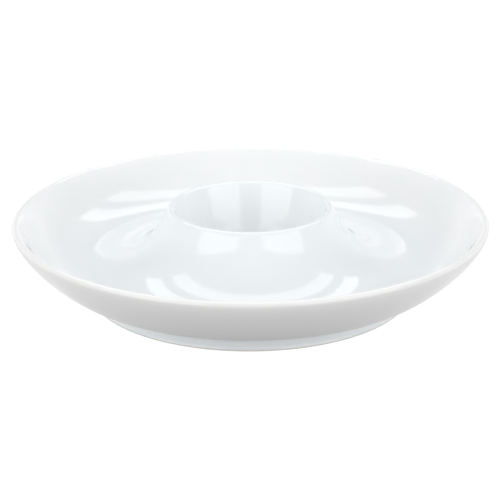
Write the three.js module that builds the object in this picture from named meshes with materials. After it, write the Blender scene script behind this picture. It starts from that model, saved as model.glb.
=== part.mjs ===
// Chip and dip server: one round porcelain dish with a dip well raised in its middle.
// The ware is fired in one piece, so its real constituents are the biscuit body and the two
// coats of glaze on it. The bare standing edge of the foot ring parts one coat from the other.
// Everything is turned about +Z. Millimetres, origin at the centre of the foot, +Z up.

import * as THREE from "three";

// Dish
const RIM_RADIUS = 152.5;
const RIM_HEIGHT = 50.4;
const LIP_THICKNESS = 4.6;
const WALL = 4.8; // under the trough, the mound and the well
const LIP_DROP = 6.8; // how far the underside hangs straight below the lip before it turns in
const UNDERSIDE_SWEEP = 0.48; // share of the span from foot to rim that the underside's belly takes
const UNDERSIDE_RISE = 5.35; // how far the belly climbs over that sweep
const DISH_SWEEP = 0.71; // the same for the inside of the dish
const VERGE_LEAN = 42; // degrees from upright at which the inside of the dish reaches the lip
const VERGE_REACH = 10.4; // length over which it settles to that lean

// Trough that holds the chips
const TROUGH_FLOOR = 18.4;
const TROUGH_INSET = 1.9; // its lowest circle lies this far inside the foot ring

// Foot ring
const FOOT_RADIUS = 105.2;
const FOOT_HEIGHT = 9.0;
const FOOT_WIDTH = 4.2;
const FOOT_LEAN = 2.6; // how much wider its outer face is at the top than at the table
const FOOT_FILLET = 1.6;
const EDGE_CHAMFER = 0.6;
const FILLET_WAIST = 0.3; // a fillet's middle point lies this share of its size from the corner

// Dip well
const WELL_RADIUS = 49.2;
const WELL_CREST = 55.5;
const WELL_FLOOR = 12.0;
const WELL_CORNER = 24;
const WELL_DRAFT = 18; // degrees that its wall leans out
const MOUND_SHOULDER = 4.1; // length of the soft shoulder outside the well's lip
const MOUND_SPREAD = 11.6; // how far the mound's skirt stands out before it flares
const HOLLOW_DEPTH = 19; // the hollow under the mound reaches to this far below the well's crest
const HOLLOW_CROWN = 1.5; // rise of its ceiling
const LIP_LEAVING = 45; // degrees round the lip's section where the shoulder takes over

// Glaze
const GLAZE = 0.3;
const SEAM = 0.02; // hair's breadth that keeps the meshes of body and glaze from crossing
const BARE_EDGE = 1.2; // the glaze is wiped back this far above the standing edge

// Faceting
const TURNS = 48;
const CURVE_STEPS = 8;
const ARC_STEPS = 4;

const PORCELAIN = { color: 0xeeebe6, roughness: 0.75, metalness: 0 };
const CLEAR_GLAZE = { color: 0xf6f7f6, roughness: 0.08, metalness: 0 };

const degrees = THREE.MathUtils.degToRad;
const point = (radius, height) => new THREE.Vector2(radius, height);

// Sizes that follow from the ones above
const lipRadius = LIP_THICKNESS / 2;
const rimLip = point(RIM_RADIUS - lipRadius, RIM_HEIGHT - lipRadius);
const wellLip = point(WELL_RADIUS + lipRadius, WELL_CREST - lipRadius);
const footTopRadius = FOOT_RADIUS + FOOT_LEAN;
const footInnerRadius = FOOT_RADIUS - FOOT_WIDTH;
const trough = point(FOOT_RADIUS - TROUGH_INSET, TROUGH_FLOOR);
const wellCornerCentre = findWellCornerCentre();

// The well's wall touches both the floor's corner and the lip, leaning out by the draft.
function findWellCornerCentre() {
  const lean = degrees(WELL_DRAFT);
  const radii = WELL_CORNER + lipRadius;
  const centreHeight = WELL_FLOOR + WELL_CORNER;
  const wallLength = (wellLip.y - centreHeight + radii * Math.sin(lean)) / Math.cos(lean);
  const centreRadius = wellLip.x - radii * Math.cos(lean) - wallLength * Math.sin(lean);
  return point(centreRadius, centreHeight);
}

// Points on an arc, both ends included, angles in degrees from the outward direction.
function arc(centre, radius, from, to, steps) {
  const points = [];
  for (let step = 0; step <= steps; step += 1) {
    const angle = degrees(from + ((to - from) * step) / steps);
    points.push(point(centre.x + radius * Math.cos(angle), centre.y + radius * Math.sin(angle)));
  }
  return points;
}

function bezier(start, startHandle, endHandle, end) {
  return new THREE.CubicBezierCurve(start, startHandle, endHandle, end).getPoints(CURVE_STEPS);
}

// The same line moved sideways to its right, as seen walking along it.
function offset(points, distance) {
  return points.map((here, index) => {
    const before = points[Math.max(index - 1, 0)];
    const after = points[Math.min(index + 1, points.length - 1)];
    const along = after.clone().sub(before).normalize();
    return point(Math.max(here.x + along.y * distance, 0), here.y - along.x * distance);
  });
}

// Walks a list of stretches as one line, without doubling the points where they meet.
function join(...stretches) {
  const line = [];
  for (const next of stretches.flat()) {
    const last = line[line.length - 1];
    if (!last || last.distanceTo(next) > 1e-3) {
      line.push(next);
    }
  }
  return line;
}

// Inside of the dip well, from the axis up to its crest.
function wellInside() {
  const corner = arc(wellCornerCentre, WELL_CORNER, -90, -WELL_DRAFT, ARC_STEPS);
  return join([point(0, WELL_FLOOR)], corner);
}

// Rounded lip of the well and the mound's skirt, down into the trough.
function mound() {
  const lip = arc(wellLip, lipRadius, 180 - WELL_DRAFT, LIP_LEAVING, ARC_STEPS);
  const lipEnd = lip[lip.length - 1];
  const outward = MOUND_SHOULDER * Math.sin(degrees(LIP_LEAVING));
  const downward = MOUND_SHOULDER * Math.cos(degrees(LIP_LEAVING));
  const skirt = bezier(
    lipEnd,
    point(lipEnd.x + outward, lipEnd.y - downward),
    point(wellLip.x + MOUND_SPREAD, TROUGH_FLOOR),
    trough,
  );
  return { lip, skirt };
}

// Inside of the dish, from the trough up to the rim, and over the rim's round lip.
function dishInside() {
  const lean = degrees(VERGE_LEAN);
  const lip = arc(rimLip, lipRadius, 180 - VERGE_LEAN, 0, ARC_STEPS);
  const verge = lip[0];
  const sweep = (RIM_RADIUS - LIP_THICKNESS - trough.x) * DISH_SWEEP;
  const wall = bezier(
    trough,
    point(trough.x + sweep, TROUGH_FLOOR),
    point(verge.x - VERGE_REACH * Math.sin(lean), verge.y - VERGE_REACH * Math.cos(lean)),
    verge,
  );
  return join(wall, lip);
}

// Underside of the dish, from the lip to the foot ring, and the foot's leaning outer face.
function dishOutside() {
  const sweep = (RIM_RADIUS - footTopRadius) * UNDERSIDE_SWEEP;
  const footTop = point(footTopRadius + FOOT_FILLET, FOOT_HEIGHT);
  const belly = bezier(
    point(RIM_RADIUS, rimLip.y),
    point(RIM_RADIUS, rimLip.y - LIP_DROP),
    point(footTop.x + sweep, FOOT_HEIGHT + UNDERSIDE_RISE),
    footTop,
  );
  const leanAt = (height) => FOOT_RADIUS + (FOOT_LEAN * height) / FOOT_HEIGHT;
  const below = FOOT_HEIGHT - FOOT_FILLET;
  const waist = FOOT_FILLET * FILLET_WAIST;
  const fillet = [point(leanAt(below) + waist, FOOT_HEIGHT - waist)];
  return join(belly, fillet, [point(leanAt(below), below), point(leanAt(BARE_EDGE), BARE_EDGE)]);
}

// The whole glazed face above the bare edge, from the axis out to the foot.
function upperFace() {
  const { lip, skirt } = mound();
  return join(wellInside(), lip, skirt, dishInside(), dishOutside());
}

// The glazed face below: foot's inner face, trough, hollow under the mound, and well.
function baseFace() {
  const ceiling = TROUGH_FLOOR - WALL;
  const reach = footInnerRadius - FOOT_FILLET;
  const waist = FOOT_FILLET * FILLET_WAIST;
  const footFace = [
    point(footInnerRadius, BARE_EDGE),
    point(footInnerRadius, ceiling - FOOT_FILLET),
    point(footInnerRadius - waist, ceiling - waist),
  ];
  const wellSide = arc(wellCornerCentre, WELL_CORNER + WALL, -WELL_DRAFT, -90, ARC_STEPS);
  const climb = WELL_CREST - HOLLOW_DEPTH - wellSide[0].y;
  const top = point(wellSide[0].x + climb * Math.tan(degrees(WELL_DRAFT)), wellSide[0].y + climb);
  const underSkirt = offset(mound().skirt, WALL).reverse();
  const skirtSide = underSkirt.filter((place) => place.y < top.y && place.x < reach);
  const skirtTop = skirtSide[skirtSide.length - 1];
  const crown = point((top.x + skirtTop.x) / 2, top.y + HOLLOW_CROWN);
  return join(footFace, skirtSide, [crown, top], wellSide, [point(0, WELL_FLOOR - WALL)]);
}

// A closed solid turned from an outline. The ends of the outline lie on the axis or meet.
function turned(outline) {
  const geometry = new THREE.LatheGeometry(outline, TURNS);
  geometry.rotateX(Math.PI / 2);
  return geometry;
}

function named(name, geometry, finish) {
  const mesh = new THREE.Mesh(geometry, new THREE.MeshStandardMaterial(finish));
  mesh.name = name;
  return mesh;
}

// Biscuit body: everything under the two coats, and bare porcelain at the standing edge.
function porcelainBody() {
  const above = offset(upperFace(), GLAZE + SEAM);
  const below = offset(baseFace(), GLAZE + SEAM);
  const outer = above[above.length - 1].x;
  const inner = below[0].x;
  const standingEdge = [
    point(outer - EDGE_CHAMFER * FILLET_WAIST, EDGE_CHAMFER),
    point(outer - EDGE_CHAMFER, 0),
    point(inner + EDGE_CHAMFER, 0),
    point(inner, EDGE_CHAMFER),
  ];
  const outline = join(above, standingEdge, below).reverse();
  return named("porcelain_body", turned(outline), PORCELAIN);
}

// A coat of glaze fills the space between a face and the body under it.
function glazeCoat(name, face, ends) {
  const outline = [...offset(face, GLAZE), ...face.slice().reverse()];
  if (!ends.onAxisAtStart) {
    outline.push(outline[0].clone());
  }
  return named(name, turned(outline), CLEAR_GLAZE);
}

const server = new THREE.Group();
server.name = "chip_and_dip_server";
server.add(porcelainBody());
server.add(glazeCoat("upper_glaze", upperFace(), { onAxisAtStart: true }));
server.add(glazeCoat("base_glaze", baseFace(), { onAxisAtStart: false }));

export default server;
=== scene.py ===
# A chip and dip server: one round porcelain dish on a foot ring, with a dip well raised in its
# middle. The ware is fired in one piece. What shows is the clear glaze that covers it, in two coats
# that the bare standing edge of the foot ring parts from each other.
# The ware's sizes are in millimetres, the studio's in metres.

import math
import bpy
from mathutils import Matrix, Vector


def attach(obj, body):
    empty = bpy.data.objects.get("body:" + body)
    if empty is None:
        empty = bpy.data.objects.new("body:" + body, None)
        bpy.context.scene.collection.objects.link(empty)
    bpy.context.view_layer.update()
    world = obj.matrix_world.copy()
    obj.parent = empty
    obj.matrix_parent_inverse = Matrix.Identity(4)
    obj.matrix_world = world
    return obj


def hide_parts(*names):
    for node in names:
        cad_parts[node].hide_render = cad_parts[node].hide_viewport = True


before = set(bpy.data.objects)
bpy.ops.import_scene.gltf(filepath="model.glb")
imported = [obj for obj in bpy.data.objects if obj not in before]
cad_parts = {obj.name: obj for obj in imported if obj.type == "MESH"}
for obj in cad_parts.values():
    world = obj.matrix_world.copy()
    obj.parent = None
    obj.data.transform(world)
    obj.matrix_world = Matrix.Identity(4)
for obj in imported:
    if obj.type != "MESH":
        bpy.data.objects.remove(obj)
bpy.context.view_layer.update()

MM = 0.001


# ---------------------------------------------------------------- sizes taken from the frame

def outline_points(node):
    """(radius, height) of every corner of a node, in millimetres."""
    corners = [corner.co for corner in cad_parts[node].data.vertices]
    return [(math.hypot(corner.x, corner.y) / MM, corner.z / MM) for corner in corners]


upper_points = outline_points("upper_glaze")
base_points = outline_points("base_glaze")
body_points = outline_points("porcelain_body")

MIDDLE = 1.0  # corners nearer to the axis than this are on it
FOOT_ZONE = 5.0  # below this height there is only the foot
RIM_ZONE = 0.8  # beyond this share of the radius nothing is higher than the rim

RIM_RADIUS = max(r for r, z in upper_points)
RIM_HEIGHT = max(z for r, z in upper_points if r > RIM_RADIUS * RIM_ZONE)
WELL_CREST = max(z for r, z in upper_points)
WELL_FLOOR = max(z for r, z in upper_points if r < MIDDLE)
WALL = WELL_FLOOR - min(z for r, z in base_points if r < MIDDLE)
# Read at the coat's body side, so the foot stands a coat's thickness further out than in the frame.
FOOT_INNER = max(r for r, z in base_points if z < FOOT_ZONE)
STANDING_Z = min(z for r, z in body_points)

# ---------------------------------------------------------------- shape of the ware

# Dish
LIP_THICKNESS = 4.6
LIP_DROP = 6.8  # how far the underside hangs straight below the lip
UNDERSIDE_SWEEP = 0.48  # share of the span from foot to rim that the belly takes
UNDERSIDE_RISE = 5.35  # how far the belly climbs over that sweep
DISH_SWEEP = 0.71  # how far the inside starts out level, as a share of the span from trough to lip
VERGE_LEAN = 42.0  # degrees from upright where the inside of the dish reaches the lip
VERGE_REACH = 10.4  # length over which it settles to that lean
TROUGH_FLOOR = 18.4
TROUGH_INSET = 1.9  # the trough's lowest circle lies this far inside the foot ring

# Foot ring
FOOT_WIDTH = 4.2
FOOT_HEIGHT = 9.0
FOOT_LEAN = 2.6  # how much wider its outer face is at the top than at the table
FOOT_FILLET = 1.6
EDGE_ROUND = 0.6
BARE_EDGE = 1.2  # the glaze is wiped back this far above the standing edge

# Dip well
WELL_RADIUS = 49.2
WELL_CORNER = 24.0
WELL_DRAFT = 18.0  # degrees that its wall leans out
MOUND_SHOULDER = 4.1  # length of the soft shoulder outside the well's lip
MOUND_SPREAD = 11.6  # how far the mound's skirt stands out before it flares
HOLLOW_DEPTH = 19.0  # the hollow under the mound reaches to this far below the well's crest
HOLLOW_ARCH = 2.4  # reach of the curve that closes it
LIP_LEAVING = 45.0  # degrees round the lip's section where the shoulder takes over

# Glaze
GLAZE = 0.3
SEAM = 0.02  # gap between a coat and the body, as in the frame

# Fineness of the meshes
TURNS = 240
CURVE_STEPS = 40
LIP_STEPS = 20
CORNER_STEPS = 16
FILLET_STEPS = 6
SAME_PLACE = 1e-3  # points closer than this are one

foot_radius = FOOT_INNER + FOOT_WIDTH
lip_radius = LIP_THICKNESS / 2
rim_lip = (RIM_RADIUS - lip_radius, RIM_HEIGHT - lip_radius)
well_lip = (WELL_RADIUS + lip_radius, WELL_CREST - lip_radius)
trough = (foot_radius - TROUGH_INSET, TROUGH_FLOOR)


def well_corner_centre():
    """The well's wall touches both the floor's corner and the lip, leaning out by the draft."""
    lean = math.radians(WELL_DRAFT)
    radii = WELL_CORNER + lip_radius
    height = WELL_FLOOR + WELL_CORNER
    wall = (well_lip[1] - height + radii * math.sin(lean)) / math.cos(lean)
    return (well_lip[0] - radii * math.cos(lean) - wall * math.sin(lean), height)


corner_centre = well_corner_centre()


# ---------------------------------------------------------------- lines of the section

def arc(centre, radius, start, end, steps):
    """Points on an arc, both ends included, angles in degrees from the outward direction."""
    angles = [math.radians(start + (end - start) * i / steps) for i in range(steps + 1)]
    return [(centre[0] + radius * math.cos(a), centre[1] + radius * math.sin(a)) for a in angles]


def curve(p0, p1, p2, p3, steps):
    """A cubic curve that leaves p0 towards p1 and reaches p3 from p2."""
    line = []
    for i in range(steps + 1):
        t = i / steps
        weights = ((1 - t) ** 3, 3 * t * (1 - t) ** 2, 3 * t * t * (1 - t), t ** 3)
        pulls = list(zip(weights, (p0, p1, p2, p3)))
        line.append(tuple(sum(weight * place[k] for weight, place in pulls) for k in (0, 1)))
    return line


def join(*stretches):
    """Several stretches as one line, without doubling the points where they meet."""
    line = []
    for place in (p for stretch in stretches for p in stretch):
        if not line or math.dist(line[-1], place) > SAME_PLACE:
            line.append(place)
    return line


def offset(line, distance):
    """The same line moved sideways to its right, as seen walking along it."""
    moved = []
    for i, here in enumerate(line):
        before, after = line[max(i - 1, 0)], line[min(i + 1, len(line) - 1)]
        length = math.dist(before, after)
        along = ((after[0] - before[0]) / length, (after[1] - before[1]) / length)
        moved.append((max(here[0] + along[1] * distance, 0.0), here[1] - along[0] * distance))
    return moved


def skirt_line():
    """The mound's skirt, from the well's lip down into the trough."""
    slope = math.radians(LIP_LEAVING)
    start = (well_lip[0] + lip_radius * math.cos(slope), well_lip[1] + lip_radius * math.sin(slope))
    outward, downward = MOUND_SHOULDER * math.sin(slope), MOUND_SHOULDER * math.cos(slope)
    shoulder = (start[0] + outward, start[1] - downward)
    return curve(start, shoulder, (well_lip[0] + MOUND_SPREAD, TROUGH_FLOOR), trough, CURVE_STEPS)


def upper_face():
    """The glazed face above the bare edge, from the axis out to the foot."""
    middle = [(0.0, WELL_FLOOR)]
    corner = arc(corner_centre, WELL_CORNER, -90, -WELL_DRAFT, CORNER_STEPS)
    crest = arc(well_lip, lip_radius, 180 - WELL_DRAFT, LIP_LEAVING, LIP_STEPS)

    lip = arc(rim_lip, lip_radius, 180 - VERGE_LEAN, 0, LIP_STEPS)
    lean = math.radians(VERGE_LEAN)
    sweep = (RIM_RADIUS - LIP_THICKNESS - trough[0]) * DISH_SWEEP
    verge = (lip[0][0] - VERGE_REACH * math.sin(lean), lip[0][1] - VERGE_REACH * math.cos(lean))
    dish = curve(trough, (trough[0] + sweep, TROUGH_FLOOR), verge, lip[0], CURVE_STEPS)

    foot_top = foot_radius + FOOT_LEAN
    junction = (foot_top + FOOT_FILLET, FOOT_HEIGHT)
    sweep = (RIM_RADIUS - foot_top) * UNDERSIDE_SWEEP
    belly = curve(lip[-1], (RIM_RADIUS, rim_lip[1] - LIP_DROP),
                  (junction[0] + sweep, FOOT_HEIGHT + UNDERSIDE_RISE), junction, CURVE_STEPS)

    below = FOOT_HEIGHT - FOOT_FILLET
    heights = (below, below / 2, BARE_EDGE)
    foot_face = [(foot_radius + FOOT_LEAN * z / FOOT_HEIGHT, z) for z in heights]
    waist = (foot_top, FOOT_HEIGHT)
    fillet = curve(junction, waist, waist, foot_face[0], FILLET_STEPS)
    return join(middle, corner, crest, skirt_line(), dish, lip, belly, fillet, foot_face)


def base_face():
    """The glazed face below: foot's inner face, trough, hollow under the mound, and well."""
    ceiling = TROUGH_FLOOR - WALL
    lean = math.radians(WELL_DRAFT)
    well_side = arc(corner_centre, WELL_CORNER + WALL, -WELL_DRAFT, -90, CORNER_STEPS)
    climb = WELL_CREST - HOLLOW_DEPTH - well_side[0][1]
    top = (well_side[0][0] + climb * math.tan(lean), well_side[0][1] + climb)
    skirt = [(r, z) for r, z in reversed(offset(skirt_line(), WALL))
             if z < top[1] and r < FOOT_INNER - FOOT_FILLET]
    step = math.dist(skirt[-2], skirt[-1])
    onward = [(skirt[-1][k] - skirt[-2][k]) / step * HOLLOW_ARCH for k in (0, 1)]
    skirt_side = (skirt[-1][0] + onward[0], skirt[-1][1] + onward[1])
    wall_side = (top[0] + HOLLOW_ARCH * math.sin(lean), top[1] + HOLLOW_ARCH * math.cos(lean))
    hollow = curve(skirt[-1], skirt_side, wall_side, top, CORNER_STEPS)
    foot_face = [(FOOT_INNER, z) for z in (BARE_EDGE, ceiling / 2, ceiling - FOOT_FILLET)]
    corner = (FOOT_INNER, ceiling)
    fillet = curve(foot_face[-1], corner, corner, skirt[0], FILLET_STEPS)
    return join(foot_face, fillet, skirt, hollow, well_side, [(0.0, WELL_FLOOR - WALL)])


# ---------------------------------------------------------------- solids

def turned(name, outline):
    """A closed solid turned about +Z from an outline whose ends lie on the axis or meet."""
    on_axis = outline[0][0] < SAME_PLACE
    rings = outline[1:-1] if on_axis else outline[:-1]
    places, faces = [], []
    for r, z in rings:
        for i in range(TURNS):
            a = 2 * math.pi * i / TURNS
            places.append((r * math.cos(a) * MM, r * math.sin(a) * MM, z * MM))

    bands = len(rings) - (1 if on_axis else 0)
    for k in range(bands):
        here, there = k * TURNS, (k + 1) % len(rings) * TURNS
        for i in range(TURNS):
            j = (i + 1) % TURNS
            faces.append((here + i, here + j, there + j, there + i))

    if on_axis:
        for end, ring, flip in ((outline[0], 0, True), (outline[-1], bands * TURNS, False)):
            places.append((0.0, 0.0, end[1] * MM))
            tip = len(places) - 1
            for i in range(TURNS):
                here, there = ring + i, ring + (i + 1) % TURNS
                faces.append((tip, there, here) if flip else (tip, here, there))

    mesh = bpy.data.meshes.new(name)
    mesh.from_pydata(places, [], faces)
    mesh.validate()
    mesh.shade_smooth()
    piece = bpy.data.objects.new(name, mesh)
    bpy.context.scene.collection.objects.link(piece)
    return piece


def bead(outer, inner):
    """The rounded end of a coat where it was wiped off the foot."""
    middle = ((outer[0] + inner[0]) / 2, BARE_EDGE)
    start, end = (0, -180) if outer[0] > inner[0] else (180, 360)
    return arc(middle, GLAZE / 2, start, end, FILLET_STEPS)


def upper_coat():
    """The coat over everything seen from above and from the side, down to the bare edge."""
    face = upper_face()
    under = offset(face, GLAZE)
    outline = join(face, bead(face[-1], under[-1]), reversed(under))
    return turned("upper_glaze_coat", list(reversed(outline)))


def base_coat():
    """The coat inside the foot ring and over the whole base."""
    face = base_face()
    under = offset(face, GLAZE)
    outline = join(reversed(under), bead(under[0], face[0]), face)
    return turned("base_glaze_coat", list(reversed(outline)))


def biscuit_body():
    """The porcelain under both coats, bare and rounded at the standing edge."""
    above = offset(upper_face(), GLAZE + SEAM)
    below = offset(base_face(), GLAZE + SEAM)
    outer, inner = above[-1][0] - EDGE_ROUND, below[0][0] + EDGE_ROUND
    height = STANDING_Z + EDGE_ROUND
    edge = join(arc((outer, height), EDGE_ROUND, 0, -90, FILLET_STEPS),
                arc((inner, height), EDGE_ROUND, -90, -180, FILLET_STEPS))
    return turned("biscuit_body", list(reversed(join(above, edge, below))))


# ---------------------------------------------------------------- materials

# White of the fired glaze, by where on the ware it lies; faces that look down also get painted shade
POOLED = "#F3F7F9"
WELL = "#F5F8F9"
EVEN = "#F7F8F9"
THIN = "#F9F8F7"
# Greyer white for faces that look down: painted shade, along with the warmer white of glaze drained thin
# there
DRAINED_AND_SHADED = "#F1F0F0"
# Where each white lies: from above by share of the rim's radius, from below by share of the crest's height
TOPSIDE_WHITES = ((0.30, WELL), (0.36, POOLED), (0.74, POOLED),
                  (0.90, EVEN), (0.96, EVEN), (1.00, THIN))
UNDERSIDE_WHITES = ((0.02, THIN), (0.06, POOLED), (0.17, POOLED), (0.28, DRAINED_AND_SHADED))
LOOKS_UP, LOOKS_DOWN = 0.1, -0.2  # upward part of the surface's direction, where one set gives way

GLAZE_IOR = 1.55  # feldspar glaze
GLAZE_ROUGHNESS = 0.06
CLOUD_SIZE = 30.0
CLOUD_WHITES = ((0.3, "#FDFEFE"), (0.7, "#FFFFFF"))
SPECK = "#A89C8C"
SPECK_SPACING = 11.0
SPECK_REACH = 0.024  # radius, as a share of the spacing
SPECK_SCARCITY = 0.83  # only cells whose random grey is lighter than this keep their speck
SPECK_STRENGTH = 0.35
WAVE_LENGTH, WAVE_HEIGHT = 22.0, 0.03
PEEL_SIZE, PEEL_HEIGHT = 2.0, 0.0015

BISCUIT_IOR = 1.5
BISCUIT_WHITES = ((0.3, "#D3CEC6"), (0.7, "#E8E4DD"))
BISCUIT_ROUGHNESS = (0.62, 0.85)
GRAIN_SIZE, GRAIN_HEIGHT = 0.5, 0.04


def linear(colour):
    """An sRGB hex colour as linear RGBA."""
    parts = [int(colour[i:i + 2], 16) / 255 for i in (1, 3, 5)]
    light = [c / 12.92 if c <= 0.04045 else ((c + 0.055) / 1.055) ** 2.4 for c in parts]
    return (*light, 1.0)


def add_node(tree, kind, settings=(), links=(), stops=()):
    """Adds a node, sets its properties, sockets and colour stops, and links its inputs."""
    node = tree.nodes.new(kind)
    for name, value in dict(settings).items():
        if isinstance(name, str) and hasattr(node, name):
            setattr(node, name, value)
        else:
            node.inputs[name].default_value = value
    for name, source in dict(links).items():
        tree.links.new(source, node.inputs[name])
    if stops:
        elements = node.color_ramp.elements
        while len(elements) < len(stops):
            elements.new(0.5)
        for element, (place, colour) in zip(elements, stops):
            element.position = place
            element.color = linear(colour)
    return node


def new_material(name):
    material = bpy.data.materials.new(name)
    material.use_nodes = True
    material.node_tree.nodes.clear()
    return material, material.node_tree


def place_in_mm(tree):
    """Place on the ware in millimetres."""
    place = add_node(tree, "ShaderNodeTexCoord").outputs["Object"]
    scaled = add_node(tree, "ShaderNodeVectorMath", {"operation": "SCALE", "Scale": 1 / MM}, {0: place})
    return scaled.outputs["Vector"]


def glaze_white(tree, place):
    """White of the coat, by how thick it stayed where it lies, and greyer on faces that look down as painted
    shade.
    """
    flat = add_node(tree, "ShaderNodeVectorMath", {"operation": "MULTIPLY", 1: (1.0, 1.0, 0.0)}, {0: place})
    radius = add_node(tree, "ShaderNodeVectorMath", {"operation": "LENGTH"}, {0: flat.outputs["Vector"]})
    outward = add_node(tree, "ShaderNodeMath", {"operation": "DIVIDE", 1: RIM_RADIUS},
                       {0: radius.outputs["Value"]})
    topside = add_node(tree, "ShaderNodeValToRGB", links={"Fac": outward.outputs[0]},
                       stops=TOPSIDE_WHITES)

    # Faces that look down take a greyer white: painted shade, along with glaze drained thin off them, which
    # gathers on the foot below them.
    height = add_node(tree, "ShaderNodeSeparateXYZ", links={"Vector": place}).outputs["Z"]
    level = add_node(tree, "ShaderNodeMath", {"operation": "DIVIDE", 1: WELL_CREST}, {0: height})
    underside = add_node(tree, "ShaderNodeValToRGB", links={"Fac": level.outputs[0]},
                         stops=UNDERSIDE_WHITES)

    facing = add_node(tree, "ShaderNodeNewGeometry").outputs["Normal"]
    upward = add_node(tree, "ShaderNodeSeparateXYZ", links={"Vector": facing}).outputs["Z"]
    down = add_node(tree, "ShaderNodeMapRange", {"From Min": LOOKS_UP, "From Max": LOOKS_DOWN},
                    {"Value": upward})
    white = add_node(tree, "ShaderNodeMix", {"data_type": "RGBA"},
                     {0: down.outputs["Result"], 6: topside.outputs["Color"],
                      7: underside.outputs["Color"]})
    return white.outputs[2]


def clouded(tree, place, white):
    """Slow clouding of the coat where the dip ran."""
    cloud = add_node(tree, "ShaderNodeTexNoise", {"Scale": 1 / CLOUD_SIZE, "Detail": 2.0, "Roughness": 0.5},
                     {"Vector": place})
    shade = add_node(tree, "ShaderNodeValToRGB", links={"Fac": cloud.outputs["Fac"]}, stops=CLOUD_WHITES)
    result = add_node(tree, "ShaderNodeMix", {"data_type": "RGBA", "blend_type": "MULTIPLY", 0: 1.0},
                      {6: white, 7: shade.outputs["Color"]})
    return result.outputs[2]


def specked(tree, place, white):
    """Sparse iron specks of the body, half a millimetre across, that show faintly through the coat."""
    cells = add_node(tree, "ShaderNodeTexVoronoi", {"Scale": 1 / SPECK_SPACING}, {"Vector": place})
    kept = add_node(tree, "ShaderNodeMath", {"operation": "GREATER_THAN", 1: SPECK_SCARCITY},
                    {0: cells.outputs["Color"]})
    near = add_node(tree, "ShaderNodeMath", {"operation": "LESS_THAN", 1: SPECK_REACH},
                    {0: cells.outputs["Distance"]})
    speck = add_node(tree, "ShaderNodeMath", {"operation": "MULTIPLY"},
                     {0: kept.outputs[0], 1: near.outputs[0]})
    faint = add_node(tree, "ShaderNodeMath", {"operation": "MULTIPLY", 1: SPECK_STRENGTH},
                     {0: speck.outputs[0]})
    result = add_node(tree, "ShaderNodeMix", {"data_type": "RGBA", 7: linear(SPECK)},
                      {0: faint.outputs[0], 6: white})
    return result.outputs[2]


def fired_surface(tree, place):
    """Fired gloss is not flat: the coat sags in long low waves and has a fine peel on them."""
    waves = add_node(tree, "ShaderNodeTexNoise", {"Scale": 1 / WAVE_LENGTH, "Detail": 1.0}, {"Vector": place})
    waved = add_node(tree, "ShaderNodeBump", {"Strength": 1.0, "Distance": WAVE_HEIGHT * MM},
                     {"Height": waves.outputs["Fac"]})
    peel = add_node(tree, "ShaderNodeTexNoise", {"Scale": 1 / PEEL_SIZE, "Detail": 1.0}, {"Vector": place})
    peeled = add_node(tree, "ShaderNodeBump", {"Strength": 1.0, "Distance": PEEL_HEIGHT * MM},
                      {"Height": peel.outputs["Fac"], "Normal": waved.outputs["Normal"]})
    return peeled.outputs["Normal"]


def glazed_porcelain(name):
    """Hard white porcelain dipped in clear feldspar glaze and fired to a gloss.

    The eye sees mirror-sharp lights on a milky white. The glaze runs while it is molten: it pools to
    a cooler white round the mound and on the foot, and leaves the rim warmer. The underside is painted
    greyer: painted shade on faces that look down, along with the thinner glaze there.
    """
    material, tree = new_material(name)
    place = place_in_mm(tree)
    colour = specked(tree, place, clouded(tree, place, glaze_white(tree, place)))
    shader = add_node(tree, "ShaderNodeBsdfPrincipled", {"Roughness": GLAZE_ROUGHNESS, "IOR": GLAZE_IOR},
                      {"Base Color": colour, "Normal": fired_surface(tree, place)})
    add_node(tree, "ShaderNodeOutputMaterial", links={"Surface": shader.outputs["BSDF"]})
    return material


def biscuit_porcelain(name):
    """Porcelain fired bare where the glaze was wiped off, then rubbed smooth.

    The eye sees a dry, slightly warm band with a faint grain. The grit is a tenth of a millimetre,
    drawn at half a millimetre so that it shows.
    """
    material, tree = new_material(name)
    grain = add_node(tree, "ShaderNodeTexNoise", {"Scale": 1 / GRAIN_SIZE, "Detail": 3.0, "Roughness": 0.6},
                     {"Vector": place_in_mm(tree)}).outputs["Fac"]
    shade = add_node(tree, "ShaderNodeValToRGB", links={"Fac": grain}, stops=BISCUIT_WHITES)
    grit = add_node(tree, "ShaderNodeBump", {"Strength": 1.0, "Distance": GRAIN_HEIGHT * MM},
                    {"Height": grain})
    rubbed = add_node(tree, "ShaderNodeMapRange",
                      {"To Min": BISCUIT_ROUGHNESS[0], "To Max": BISCUIT_ROUGHNESS[1]}, {"Value": grain})
    shader = add_node(tree, "ShaderNodeBsdfPrincipled", {"IOR": BISCUIT_IOR},
                      {"Base Color": shade.outputs["Color"], "Roughness": rubbed.outputs["Result"],
                       "Normal": grit.outputs["Normal"]})
    add_node(tree, "ShaderNodeOutputMaterial", links={"Surface": shader.outputs["BSDF"]})
    return material


# ---------------------------------------------------------------- pieces

gloss = glazed_porcelain("clear_glaze_over_white_porcelain")
bare = biscuit_porcelain("rubbed_biscuit_porcelain")
for piece, node, finish, slot in (
        (biscuit_body(), "porcelain_body", bare, "porcelain_biscuit"),
        (upper_coat(), "upper_glaze", gloss, "clear_glaze"),
        (base_coat(), "base_glaze", gloss, "clear_glaze")):
    piece.data.materials.append(finish)
    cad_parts[node].data.materials.clear()
    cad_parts[node].data.materials.append(finish)
    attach(piece, "root")
    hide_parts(node)

# ---------------------------------------------------------------- floor, backdrop and room

TABLE_RADIUS = 1.6
TABLE_HEIGHT = -0.0001
TABLE_SIDES = 96
TABLE_GLOW = 0.90  # to the sides of the ware and behind it
TABLE_FRONT = 0.44  # between the ware and the camera, which stands in its light
FRONT_SECTOR = (-1.0, -0.3)  # Y part of the way out, over which the front's glow gives way
NEAR_GLOW, FAR_GLOW = 0.98, 0.90  # factors on the glow, by the ware and away from it
GLOW_REACH = (0.15, 0.45)

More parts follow.
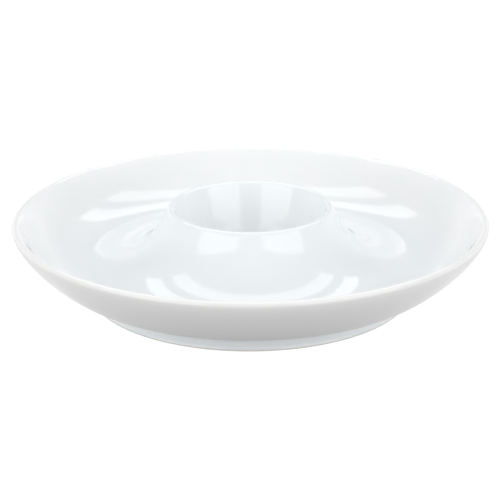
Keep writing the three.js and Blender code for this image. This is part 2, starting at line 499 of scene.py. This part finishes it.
SWEEP_RADIUS = 8.0
SWEEP_FLOOR = (4.0, -0.001)  # radius and height of its flat floor
SWEEP_SIDES, SWEEP_LEVELS = 64, 24
SWEEP_GLOW = 1.05

ROOM_LIGHT = 0.385  # from every side
CEILING_LIGHT = 0.30  # what the ceiling adds overhead
WALL_FRONT = 0.36  # what the walls add behind the camera
WALL_BACK = 0.85  # and behind the ware
WALL_TOP = 0.42  # upward part of the direction in which they end


def ring_of(radius, height, sides):
    angles = [2 * math.pi * i / sides for i in range(sides)]
    return [(radius * math.cos(a), radius * math.sin(a), height) for a in angles]


def stage_object(name, places, faces, material):
    mesh = bpy.data.meshes.new(name)
    mesh.from_pydata(places, [], faces)
    mesh.materials.append(material)
    thing = bpy.data.objects.new(name, mesh)
    bpy.context.scene.collection.objects.link(thing)
    return thing


def back_lit_acrylic(name):
    """Matte white acrylic lit from below, duller towards the camera and a little brighter by the ware."""
    material, tree = new_material(name)
    place = add_node(tree, "ShaderNodeTexCoord").outputs["Object"]
    way = add_node(tree, "ShaderNodeVectorMath", {"operation": "NORMALIZE"}, {0: place})
    parts = add_node(tree, "ShaderNodeSeparateXYZ", links={"Vector": way.outputs["Vector"]})
    glow = add_node(tree, "ShaderNodeMapRange",
                    {"From Min": FRONT_SECTOR[0], "From Max": FRONT_SECTOR[1],
                     "To Min": TABLE_FRONT, "To Max": TABLE_GLOW}, {"Value": parts.outputs["Y"]})
    away = add_node(tree, "ShaderNodeVectorMath", {"operation": "LENGTH"}, {0: place}).outputs["Value"]
    pool = add_node(tree, "ShaderNodeMapRange",
                    {"From Min": GLOW_REACH[0], "From Max": GLOW_REACH[1],
                     "To Min": NEAR_GLOW, "To Max": FAR_GLOW}, {"Value": away})
    strength = add_node(tree, "ShaderNodeMath", {"operation": "MULTIPLY"},
                        {0: glow.outputs["Result"], 1: pool.outputs["Result"]})
    shader = add_node(tree, "ShaderNodeEmission", links={"Strength": strength.outputs[0]})
    add_node(tree, "ShaderNodeOutputMaterial", links={"Surface": shader.outputs[0]})
    return material


def glowing_white(name):
    """An even white that gives its own light."""
    material, tree = new_material(name)
    shader = add_node(tree, "ShaderNodeEmission", {"Strength": SWEEP_GLOW})
    add_node(tree, "ShaderNodeOutputMaterial", links={"Surface": shader.outputs[0]})
    return material


def lit_table():
    """The table lights the ware from below. The camera looks through it to the sweep's floor."""
    places = ring_of(TABLE_RADIUS, TABLE_HEIGHT, TABLE_SIDES)
    faces = [tuple(range(TABLE_SIDES))]
    table = stage_object("matte_table", places, faces, back_lit_acrylic("back_lit_table"))
    table.visible_camera = False


def white_sweep():
    """A white floor that turns up into a dome. Only the camera sees it, so it lights nothing."""
    angles = [math.pi / 2 * k / SWEEP_LEVELS for k in range(SWEEP_LEVELS)]
    rings = [SWEEP_FLOOR] + [(SWEEP_RADIUS * math.cos(a), SWEEP_RADIUS * math.sin(a)) for a in angles]
    places = [place for radius, height in rings for place in ring_of(radius, height, SWEEP_SIDES)]
    top = (len(rings) - 1) * SWEEP_SIDES
    faces = [tuple(reversed(range(SWEEP_SIDES))), tuple(range(top, top + SWEEP_SIDES))]
    for below in range(0, top, SWEEP_SIDES):
        above = below + SWEEP_SIDES
        for i in range(SWEEP_SIDES):
            j = (i + 1) % SWEEP_SIDES
            faces.append((below + i, below + j, above + j, above + i))
    sweep = stage_object("white_sweep", places, faces, glowing_white("glowing_white_sweep"))
    for sight in ("diffuse", "glossy", "transmission", "volume_scatter", "shadow"):
        setattr(sweep, "visible_" + sight, False)


def soft_room():
    """White surroundings: low walls, lighter behind the ware than behind the camera, and a ceiling."""
    room = bpy.data.worlds.new("soft_room")
    room.use_nodes = True
    tree = room.node_tree
    tree.nodes.clear()
    toward = add_node(tree, "ShaderNodeTexCoord").outputs["Generated"]
    parts = add_node(tree, "ShaderNodeSeparateXYZ", links={"Vector": toward})
    height = add_node(tree, "ShaderNodeMath", {"operation": "ABSOLUTE"}, {0: parts.outputs["Z"]})
    low = add_node(tree, "ShaderNodeMapRange", {"From Max": WALL_TOP, "To Min": 1.0, "To Max": 0.0},
                   {"Value": height.outputs[0]})
    around = add_node(tree, "ShaderNodeMapRange",
                      {"From Min": -1.0, "To Min": WALL_FRONT, "To Max": WALL_BACK},
                      {"Value": parts.outputs["Y"]})
    ceiling = add_node(tree, "ShaderNodeMapRange",
                       {"From Min": WALL_TOP, "To Min": ROOM_LIGHT, "To Max": ROOM_LIGHT + CEILING_LIGHT},
                       {"Value": parts.outputs["Z"]})
    strength = add_node(tree, "ShaderNodeMath", {"operation": "MULTIPLY_ADD"},
                        {0: around.outputs["Result"], 1: low.outputs["Result"], 2: ceiling.outputs["Result"]})
    light = add_node(tree, "ShaderNodeBackground", {"Color": linear("#FFFFFF")},
                     {"Strength": strength.outputs[0]})
    add_node(tree, "ShaderNodeOutputWorld", links={"Surface": light.outputs[0]})
    return room


lit_table()
white_sweep()
bpy.context.scene.world = soft_room()

# ---------------------------------------------------------------- lights

STRIP_HEIGHT = 1.0689
STRIP_TURN = 0.07  # slope at which both strips run askew to the ware
OVERHEAD_STRIP = ((-0.8936, 0.9437), (0.1106, 0.4642))  # its left and right, near and far edges
BACK_STRIP = ((-0.8570, 0.8787), (0.7174, 1.1307))
OVERHEAD_RADIANCE = 1.82
BACK_RADIANCE = 1.78

PANEL_AZIMUTH, PANEL_RISE = 44, 20  # degrees from the camera's side, and above the table
PANEL_WIDTH, PANEL_HEIGHT = 1.35, 0.85
PANEL_REACH = 1.5
PANEL_RADIANCE = 1.6


def softbox(name, width, height, radiance):
    """A rectangular softbox. A flat lamp of even radiance gives off pi times that for its area."""
    light = bpy.data.lights.new(name, "AREA")
    light.shape = "RECTANGLE"
    light.size, light.size_y = width, height
    light.energy = radiance * math.pi * light.size * light.size_y
    lamp = bpy.data.objects.new(name, light)
    lamp.visible_camera = False
    bpy.context.scene.collection.objects.link(lamp)
    return lamp


def strip_light(name, edges, radiance):
    """A long softbox overhead that faces down."""
    (left, right), (near, far) = edges
    turn = math.atan(STRIP_TURN)
    middle = (left + right) / 2
    lamp = softbox(name, (right - left) / math.cos(turn), (far - near) * math.cos(turn), radiance)
    lamp.location = (middle, (near + far) / 2 + STRIP_TURN * middle, STRIP_HEIGHT)
    lamp.rotation_euler = (0, 0, turn)


def front_panel(name, azimuth):
    """A softbox that faces the ware from beside the camera."""
    a, e = math.radians(azimuth), math.radians(PANEL_RISE)
    back = Vector((math.sin(a) * math.cos(e), -math.cos(a) * math.cos(e), math.sin(e)))
    lamp = softbox(name, PANEL_WIDTH, PANEL_HEIGHT, PANEL_RADIANCE)
    lamp.location = back * PANEL_REACH
    lamp.rotation_euler = back.to_track_quat("Z", "Y").to_euler()


strip_light("overhead_strip", OVERHEAD_STRIP, OVERHEAD_RADIANCE)
strip_light("back_strip", BACK_STRIP, BACK_RADIANCE)
front_panel("left_front_panel", -PANEL_AZIMUTH)
front_panel("right_front_panel", PANEL_AZIMUTH)

# ---------------------------------------------------------------- camera

CAMERA_RISE = 20.47  # degrees above the table
CAMERA_ROLL = 0.24  # degrees
CAMERA_REACH = 0.915
AIM = (-0.0004, 0.0, 0.0246)
LENS, SENSOR = 100.86, 36.0  # millimetres

rise = math.radians(CAMERA_RISE)
lens = bpy.data.cameras.new("studio_lens")
lens.lens = LENS
lens.sensor_width = SENSOR
camera = bpy.data.objects.new("studio_camera", lens)
aim = Vector(AIM)
back = Vector((0.0, -math.cos(rise), math.sin(rise)))
camera.location = aim + back * CAMERA_REACH
camera.rotation_mode = "XYZ"
camera.rotation_euler = (math.pi / 2 - rise, 0, 0)
camera.rotation_euler.rotate_axis("Z", math.radians(-CAMERA_ROLL))
bpy.context.scene.collection.objects.link(camera)
bpy.context.scene.camera = camera
bpy.context.scene.view_settings.view_transform = "Standard"
